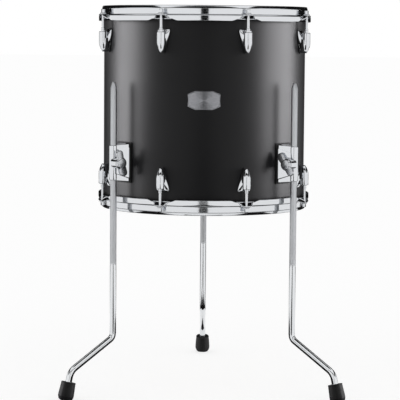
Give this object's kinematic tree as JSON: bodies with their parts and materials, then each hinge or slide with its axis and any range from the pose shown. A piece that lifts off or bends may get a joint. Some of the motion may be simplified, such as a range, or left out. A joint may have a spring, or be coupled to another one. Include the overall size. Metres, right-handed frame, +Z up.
{
  "type": "floor tom",
  "caption": "Floor tom: a black cylindrical drum with chrome hoops, lugs and tension rods, standing on bent legs that slide in clamps on its shell.",
  "frame": {"origin": "on the floor, under the middle of the whole object's box; the drum's own axis is at x 0, y -0.06125 m", "axes": "+Z up along the drum's axis, -Y towards the front with the badge, +X to the right as seen from the front"},
  "size_m": [0.5582, 0.5954, 0.765],
  "materials": {
    "black_lacquer": "plywood under a satin black lacquer",
    "chrome": "polished chrome plating",
    "coated_film": "white coated polyester film",
    "aluminium": "plain extruded aluminium",
    "satin_steel": "chromed steel, knurled to a satin look in its clamped length",
    "black_rubber": "matte black rubber",
    "brushed_badge": "brushed silver plate with no lettering"
  },
  "bodies": {
    "drum_body": {"shell": "black_lacquer", "batter_lug_1": "chrome", "batter_lug_2": "chrome", "batter_lug_3": "chrome", "batter_lug_4": "chrome", "batter_lug_5": "chrome", "batter_lug_6": "chrome", "batter_lug_7": "chrome", "batter_lug_8": "chrome", "resonant_lug_1": "chrome", "resonant_lug_2": "chrome", "resonant_lug_3": "chrome", "resonant_lug_4": "chrome", "resonant_lug_5": "chrome", "resonant_lug_6": "chrome", "resonant_lug_7": "chrome", "resonant_lug_8": "chrome", "front_left_leg_bracket": "chrome", "front_left_bracket_gasket": "black_rubber", "front_right_leg_bracket": "chrome", "front_right_bracket_gasket": "black_rubber", "back_leg_bracket": "chrome", "back_bracket_gasket": "black_rubber", "badge": "brushed_badge", "vent_grommet": "chrome"},
    "batter_end": {"batter_hoop": "chrome", "batter_head": "coated_film", "batter_flesh_hoop": "aluminium"},
    "batter_rod_1": {"batter_tension_rod_1": "chrome"},
    "batter_rod_2": {"batter_tension_rod_2": "chrome"},
    "batter_rod_3": {"batter_tension_rod_3": "chrome"},
    "batter_rod_4": {"batter_tension_rod_4": "chrome"},
    "batter_rod_5": {"batter_tension_rod_5": "chrome"},
    "batter_rod_6": {"batter_tension_rod_6": "chrome"},
    "batter_rod_7": {"batter_tension_rod_7": "chrome"},
    "batter_rod_8": {"batter_tension_rod_8": "chrome"},
    "resonant_end": {"resonant_hoop": "chrome", "resonant_head": "coated_film", "resonant_flesh_hoop": "aluminium"},
    "resonant_rod_1": {"resonant_tension_rod_1": "chrome"},
    "resonant_rod_2": {"resonant_tension_rod_2": "chrome"},
    "resonant_rod_3": {"resonant_tension_rod_3": "chrome"},
    "resonant_rod_4": {"resonant_tension_rod_4": "chrome"},
    "resonant_rod_5": {"resonant_tension_rod_5": "chrome"},
    "resonant_rod_6": {"resonant_tension_rod_6": "chrome"},
    "resonant_rod_7": {"resonant_tension_rod_7": "chrome"},
    "resonant_rod_8": {"resonant_tension_rod_8": "chrome"},
    "front_left_leg_and_foot": {"front_left_leg": "satin_steel", "front_left_rubber_foot": "black_rubber"},
    "front_left_jaw": {"front_left_clamp_jaw": "satin_steel"},
    "front_left_bolt": {"front_left_wing_bolt": "chrome"},
    "front_right_leg_and_foot": {"front_right_leg": "satin_steel", "front_right_rubber_foot": "black_rubber"},
    "front_right_jaw": {"front_right_clamp_jaw": "satin_steel"},
    "front_right_bolt": {"front_right_wing_bolt": "chrome"},
    "back_leg_and_foot": {"back_leg": "satin_steel", "back_rubber_foot": "black_rubber"},
    "back_jaw": {"back_clamp_jaw": "satin_steel"},
    "back_bolt": {"back_wing_bolt": "chrome"}
  },
  "joints": [
    {"name": "batter_tuning", "type": "slide", "parent": "drum_body", "child": "batter_end", "axis": [0, 0, 1], "range_m": [0, 0.008]},
    {"name": "batter_rod_1_turn", "type": "hinge", "parent": "batter_end", "child": "batter_rod_1", "pos_m": [0.08323, -0.2622, 0.75], "axis": [0, 0, 1], "range_deg": [0, 2723]},
    {"name": "batter_rod_2_turn", "type": "hinge", "parent": "batter_end", "child": "batter_rod_2", "pos_m": [0.20094, -0.14449, 0.75], "axis": [0, 0, 1], "range_deg": [0, 2723]},
    {"name": "batter_rod_3_turn", "type": "hinge", "parent": "batter_end", "child": "batter_rod_3", "pos_m": [0.20094, 0.02198, 0.75], "axis": [0, 0, 1], "range_deg": [0, 2723]},
    {"name": "batter_rod_4_turn", "type": "hinge", "parent": "batter_end", "child": "batter_rod_4", "pos_m": [0.08323, 0.13969, 0.75], "axis": [0, 0, 1], "range_deg": [0, 2723]},
    {"name": "batter_rod_5_turn", "type": "hinge", "parent": "batter_end", "child": "batter_rod_5", "pos_m": [-0.08323, 0.13969, 0.75], "axis": [0, 0, 1], "range_deg": [0, 2723]},
    {"name": "batter_rod_6_turn", "type": "hinge", "parent": "batter_end", "child": "batter_rod_6", "pos_m": [-0.20094, 0.02198, 0.75], "axis": [0, 0, 1], "range_deg": [0, 2723]},
    {"name": "batter_rod_7_turn", "type": "hinge", "parent": "batter_end", "child": "batter_rod_7", "pos_m": [-0.20094, -0.14449, 0.75], "axis": [0, 0, 1], "range_deg": [0, 2723]},
    {"name": "batter_rod_8_turn", "type": "hinge", "parent": "batter_end", "child": "batter_rod_8", "pos_m": [-0.08323, -0.2622, 0.75], "axis": [0, 0, 1], "range_deg": [0, 2723]},
    {"name": "resonant_tuning", "type": "slide", "parent": "drum_body", "child": "resonant_end", "axis": [0, 0, -1], "range_m": [0, 0.008]},
    {"name": "resonant_rod_1_turn", "type": "hinge", "parent": "resonant_end", "child": "resonant_rod_1", "pos_m": [0.08323, -0.2622, 0.375], "axis": [0, 0, -1], "range_deg": [0, 2723]},
    {"name": "resonant_rod_2_turn", "type": "hinge", "parent": "resonant_end", "child": "resonant_rod_2", "pos_m": [0.20094, -0.14449, 0.375], "axis": [0, 0, -1], "range_deg": [0, 2723]},
    {"name": "resonant_rod_3_turn", "type": "hinge", "parent": "resonant_end", "child": "resonant_rod_3", "pos_m": [0.20094, 0.02198, 0.375], "axis": [0, 0, -1], "range_deg": [0, 2723]},
    {"name": "resonant_rod_4_turn", "type": "hinge", "parent": "resonant_end", "child": "resonant_rod_4", "pos_m": [0.08323, 0.13969, 0.375], "axis": [0, 0, -1], "range_deg": [0, 2723]},
    {"name": "resonant_rod_5_turn", "type": "hinge", "parent": "resonant_end", "child": "resonant_rod_5", "pos_m": [-0.08323, 0.13969, 0.375], "axis": [0, 0, -1], "range_deg": [0, 2723]},
    {"name": "resonant_rod_6_turn", "type": "hinge", "parent": "resonant_end", "child": "resonant_rod_6", "pos_m": [-0.20094, 0.02198, 0.375], "axis": [0, 0, -1], "range_deg": [0, 2723]},
    {"name": "resonant_rod_7_turn", "type": "hinge", "parent": "resonant_end", "child": "resonant_rod_7", "pos_m": [-0.20094, -0.14449, 0.375], "axis": [0, 0, -1], "range_deg": [0, 2723]},
    {"name": "resonant_rod_8_turn", "type": "hinge", "parent": "resonant_end", "child": "resonant_rod_8", "pos_m": [-0.08323, -0.2622, 0.375], "axis": [0, 0, -1], "range_deg": [0, 2723]},
    {"name": "front_left_leg_height", "type": "slide", "parent": "drum_body", "child": "front_left_leg_and_foot", "axis": [0, 0, 1], "range_m": [-0.11, 0.25]},
    {"name": "front_left_jaw_slide", "type": "slide", "parent": "drum_body", "child": "front_left_jaw", "axis": [0.6428, -0.766, 0], "range_m": [0, 0.003]},
    {"name": "front_left_wing_bolt_turn", "type": "hinge", "parent": "front_left_jaw", "child": "front_left_bolt", "pos_m": [-0.17619, -0.20909, 0.458], "axis": [0.6428, -0.766, 0], "range_deg": [0, 865]},
    {"name": "front_right_leg_height", "type": "slide", "parent": "drum_body", "child": "front_right_leg_and_foot", "axis": [0, 0, 1], "range_m": [-0.11, 0.25]},
    {"name": "front_right_jaw_slide", "type": "slide", "parent": "drum_body", "child": "front_right_jaw", "axis": [-0.6428, -0.766, 0], "range_m": [0, 0.003]},
    {"name": "front_right_wing_bolt_turn", "type": "hinge", "parent": "front_right_jaw", "child": "front_right_bolt", "pos_m": [0.17619, -0.20909, 0.458], "axis": [-0.6428, -0.766, 0], "range_deg": [0, 865]},
    {"name": "back_leg_height", "type": "slide", "parent": "drum_body", "child": "back_leg_and_foot", "axis": [0, 0, 1], "range_m": [-0.11, 0.25]},
    {"name": "back_jaw_slide", "type": "slide", "parent": "drum_body", "child": "back_jaw", "axis": [-1, 0, 0], "range_m": [0, 0.003]},
    {"name": "back_wing_bolt_turn", "type": "hinge", "parent": "back_jaw", "child": "back_bolt", "pos_m": [0, 0.16875, 0.458], "axis": [-1, 0, 0], "range_deg": [0, 865]}
  ],
  "couplings": [
    {"joint": "batter_rod_1_turn", "follows": "batter_tuning", "rad_per_m": 5936.9},
    {"joint": "batter_rod_2_turn", "follows": "batter_tuning", "rad_per_m": 5936.9},
    {"joint": "batter_rod_3_turn", "follows": "batter_tuning", "rad_per_m": 5936.9},
    {"joint": "batter_rod_4_turn", "follows": "batter_tuning", "rad_per_m": 5936.9},
    {"joint": "batter_rod_5_turn", "follows": "batter_tuning", "rad_per_m": 5936.9},
    {"joint": "batter_rod_6_turn", "follows": "batter_tuning", "rad_per_m": 5936.9},
    {"joint": "batter_rod_7_turn", "follows": "batter_tuning", "rad_per_m": 5936.9},
    {"joint": "batter_rod_8_turn", "follows": "batter_tuning", "rad_per_m": 5936.9},
    {"joint": "resonant_rod_1_turn", "follows": "resonant_tuning", "rad_per_m": 5936.9},
    {"joint": "resonant_rod_2_turn", "follows": "resonant_tuning", "rad_per_m": 5936.9},
    {"joint": "resonant_rod_3_turn", "follows": "resonant_tuning", "rad_per_m": 5936.9},
    {"joint": "resonant_rod_4_turn", "follows": "resonant_tuning", "rad_per_m": 5936.9},
    {"joint": "resonant_rod_5_turn", "follows": "resonant_tuning", "rad_per_m": 5936.9},
    {"joint": "resonant_rod_6_turn", "follows": "resonant_tuning", "rad_per_m": 5936.9},
    {"joint": "resonant_rod_7_turn", "follows": "resonant_tuning", "rad_per_m": 5936.9},
    {"joint": "resonant_rod_8_turn", "follows": "resonant_tuning", "rad_per_m": 5936.9},
    {"joint": "front_left_wing_bolt_turn", "follows": "front_left_jaw_slide", "rad_per_m": 5026.5},
    {"joint": "front_right_wing_bolt_turn", "follows": "front_right_jaw_slide", "rad_per_m": 5026.5},
    {"joint": "back_wing_bolt_turn", "follows": "back_jaw_slide", "rad_per_m": 5026.5}
  ]
}
